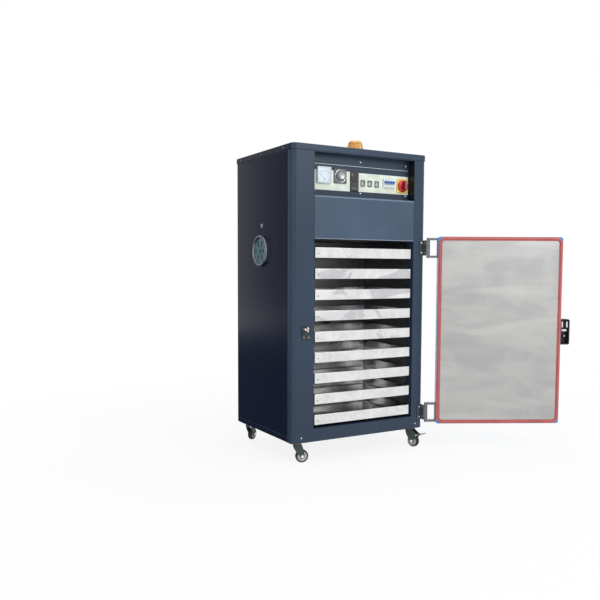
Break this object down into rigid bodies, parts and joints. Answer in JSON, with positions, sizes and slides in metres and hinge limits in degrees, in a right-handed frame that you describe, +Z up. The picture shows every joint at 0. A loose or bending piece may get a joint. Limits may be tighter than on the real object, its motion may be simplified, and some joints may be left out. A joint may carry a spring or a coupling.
{
  "type": "cabinet drying oven",
  "caption": "Tall cabinet drying oven on casters, its side-hinged insulated door open over sliding trays, with a recessed control panel above.",
  "frame": {"origin": "on the floor, under the middle of the casing's front face", "axes": "+Z up, +X to the right seen from the front, +Y from the front to the back"},
  "size_m": [1.5024, 1.0148, 1.6212],
  "materials": {
    "front_paint": "satin slate blue enamel",
    "side_paint": "gloss dark navy enamel",
    "door_paint": "gloss sky blue enamel",
    "stainless": "brushed stainless sheet",
    "tray_steel": "bright stainless sheet",
    "galvanised": "zinc coated steel",
    "chrome": "polished chrome plate",
    "gasket": "dull red silicone rubber",
    "wool": "mineral wool",
    "black_plastic": "black moulded plastic",
    "pale_plastic": "pale grey moulded plastic",
    "breaker_white": "white moulded plastic",
    "toggle_blue": "blue moulded plastic",
    "yellow_plate": "yellow moulded plastic",
    "red_knob": "red moulded plastic",
    "silver_dial": "turned silver dial",
    "amber": "amber lens",
    "vent_teal": "grey green enamel",
    "fork_paint": "dark green grey enamel",
    "wheel": "black rubber tyre on a pale grey hub",
    "motor": "dark motor enamel",
    "heater": "heat darkened tube"
  },
  "bodies": {
    "cabinet": {"front_frame": "front_paint", "side_panel_left": "side_paint", "side_panel_right": "side_paint", "back_panel": "side_paint", "top_cover": "front_paint", "base_frame": "side_paint", "chamber_liner": "stainless", "insulation": "wool", "tray_rails": "stainless", "control_plate": "front_paint", "ammeter": "pale_plastic", "timer_case": "black_plastic", "temperature_controller": "black_plastic", "rocker_frames": "black_plastic", "breaker_body": "breaker_white", "isolator_plate": "yellow_plate", "panel_screws": "chrome", "beacon_base": "black_plastic", "beacon_lens": "amber", "vent_flange": "chrome", "hinge_leaves": "chrome", "latch_strike": "chrome", "fan_motor": "motor", "heater_elements": "heater", "caster_plates": "galvanised"},
    "door": {"door_shell": "door_paint", "door_insulation": "wool", "door_gasket": "gasket", "door_liner": "stainless", "door_hinge_arms": "chrome", "door_handle": "black_plastic", "latch_body": "black_plastic"},
    "tray_1": {"tray_1": "tray_steel"},
    "tray_2": {"tray_2": "tray_steel"},
    "tray_3": {"tray_3": "tray_steel"},
    "tray_4": {"tray_4": "tray_steel"},
    "tray_5": {"tray_5": "tray_steel"},
    "tray_6": {"tray_6": "tray_steel"},
    "tray_7": {"tray_7": "tray_steel"},
    "tray_8": {"tray_8": "tray_steel"},
    "tray_9": {"tray_9": "tray_steel"},
    "rocker_1": {"rocker_1": "pale_plastic"},
    "rocker_2": {"rocker_2": "pale_plastic"},
    "rocker_3": {"rocker_3": "pale_plastic"},
    "breaker_toggle": {"breaker_toggle": "toggle_blue"},
    "isolator_knob": {"isolator_knob": "red_knob"},
    "timer_dial": {"timer_dial": "silver_dial"},
    "vent_damper": {"vent_damper": "vent_teal"},
    "fan_impeller": {"fan_impeller": "galvanised"},
    "caster_fork_1": {"caster_fork_1": "fork_paint"},
    "caster_wheel_1": {"caster_wheel_1": "wheel"},
    "caster_fork_2": {"caster_fork_2": "fork_paint"},
    "caster_wheel_2": {"caster_wheel_2": "wheel"},
    "brake_pedal_2": {"brake_pedal_2": "fork_paint"},
    "caster_fork_3": {"caster_fork_3": "fork_paint"},
    "caster_wheel_3": {"caster_wheel_3": "wheel"},
    "caster_fork_4": {"caster_fork_4": "fork_paint"},
    "caster_wheel_4": {"caster_wheel_4": "wheel"},
    "brake_pedal_4": {"brake_pedal_4": "fork_paint"}
  },
  "joints": [
    {"name": "door_swing", "type": "hinge", "parent": "cabinet", "child": "door", "pos_m": [0.4, -0.027, 0.633], "axis": [0, 0, 1], "range_deg": [-152, 28]},
    {"name": "tray_slide_1", "type": "slide", "parent": "cabinet", "child": "tray_1", "axis": [0, -1, 0], "range_m": [0, 0.36]},
    {"name": "tray_slide_2", "type": "slide", "parent": "cabinet", "child": "tray_2", "axis": [0, -1, 0], "range_m": [0, 0.36]},
    {"name": "tray_slide_3", "type": "slide", "parent": "cabinet", "child": "tray_3", "axis": [0, -1, 0], "range_m": [0, 0.36]},
    {"name": "tray_slide_4", "type": "slide", "parent": "cabinet", "child": "tray_4", "axis": [0, -1, 0], "range_m": [0, 0.36]},
    {"name": "tray_slide_5", "type": "slide", "parent": "cabinet", "child": "tray_5", "axis": [0, -1, 0], "range_m": [0, 0.36]},
    {"name": "tray_slide_6", "type": "slide", "parent": "cabinet", "child": "tray_6", "axis": [0, -1, 0], "range_m": [0, 0.36]},
    {"name": "tray_slide_7", "type": "slide", "parent": "cabinet", "child": "tray_7", "axis": [0, -1, 0], "range_m": [0, 0.36]},
    {"name": "tray_slide_8", "type": "slide", "parent": "cabinet", "child": "tray_8", "axis": [0, -1, 0], "range_m": [0, 0.36]},
    {"name": "tray_slide_9", "type": "slide", "parent": "cabinet", "child": "tray_9", "axis": [0, -1, 0], "range_m": [0, 0.36]},
    {"name": "rocker_tip_1", "type": "hinge", "parent": "cabinet", "child": "rocker_1", "pos_m": [0.03, 0.0488, 1.383], "axis": [1, 0, 0], "range_deg": [0, 16]},
    {"name": "rocker_tip_2", "type": "hinge", "parent": "cabinet", "child": "rocker_2", "pos_m": [0.073, 0.0488, 1.383], "axis": [1, 0, 0], "range_deg": [0, 16]},
    {"name": "rocker_tip_3", "type": "hinge", "parent": "cabinet", "child": "rocker_3", "pos_m": [0.116, 0.0488, 1.383], "axis": [1, 0, 0], "range_deg": [0, 16]},
    {"name": "breaker_throw", "type": "hinge", "parent": "cabinet", "child": "breaker_toggle", "pos_m": [0.191, 0.0448, 1.393], "axis": [1, 0, 0], "range_deg": [0, 40]},
    {"name": "isolator_turn", "type": "hinge", "parent": "cabinet", "child": "isolator_knob", "pos_m": [0.279, 0.0378, 1.383], "axis": [0, -1, 0], "range_deg": [0, 90]},
    {"name": "timer_turn", "type": "hinge", "parent": "cabinet", "child": "timer_dial", "pos_m": [-0.107, 0.0358, 1.41], "axis": [0, 1, 0], "range_deg": [0, 300]},
    {"name": "damper_turn", "type": "hinge", "parent": "cabinet", "child": "vent_damper", "pos_m": [-0.404, 0.335, 1.042], "axis": [-1, 0, 0], "range_deg": [0, 30]},
    {"name": "fan_spin", "type": "hinge", "parent": "cabinet", "child": "fan_impeller", "pos_m": [0.021, 0.49, 0.633], "axis": [0, 1, 0], "continuous": true},
    {"name": "caster_swivel_1", "type": "hinge", "parent": "cabinet", "child": "caster_fork_1", "pos_m": [-0.35, 0.046, 0.095], "axis": [0, 0, 1], "continuous": true},
    {"name": "caster_spin_1", "type": "hinge", "parent": "caster_fork_1", "child": "caster_wheel_1", "pos_m": [-0.32514, 0.0384, 0.032], "axis": [0.2924, 0.9563, 0], "continuous": true},
    {"name": "caster_swivel_2", "type": "hinge", "parent": "cabinet", "child": "caster_fork_2", "pos_m": [0.35, 0.046, 0.095], "axis": [0, 0, 1], "continuous": true},
    {"name": "caster_spin_2", "type": "hinge", "parent": "caster_fork_2", "child": "caster_wheel_2", "pos_m": [0.35803, 0.02127, 0.032], "axis": [0.9511, 0.309, 0], "continuous": true},
    {"name": "brake_press_2", "type": "hinge", "parent": "caster_fork_2", "child": "brake_pedal_2", "pos_m": [0.36638, -0.00441, 0.067], "axis": [0.9511, 0.309, 0], "range_deg": [0, 20]},
    {"name": "caster_swivel_3", "type": "hinge", "parent": "cabinet", "child": "caster_fork_3", "pos_m": [-0.35, 0.574, 0.095], "axis": [0, 0, 1], "continuous": true},
    {"name": "caster_spin_3", "type": "hinge", "parent": "caster_fork_3", "child": "caster_wheel_3", "pos_m": [-0.3287, 0.58891, 0.032], "axis": [-0.5736, 0.8192, 0], "continuous": true},
    {"name": "caster_swivel_4", "type": "hinge", "parent": "cabinet", "child": "caster_fork_4", "pos_m": [0.35, 0.574, 0.095], "axis": [0, 0, 1], "continuous": true},
    {"name": "caster_spin_4", "type": "hinge", "parent": "caster_fork_4", "child": "caster_wheel_4", "pos_m": [0.32557, 0.58289, 0.032], "axis": [-0.342, -0.9397, 0], "continuous": true},
    {"name": "brake_press_4", "type": "hinge", "parent": "caster_fork_4", "child": "brake_pedal_4", "pos_m": [0.3002, 0.59213, 0.067], "axis": [-0.342, -0.9397, 0], "range_deg": [0, 20]}
  ]
}
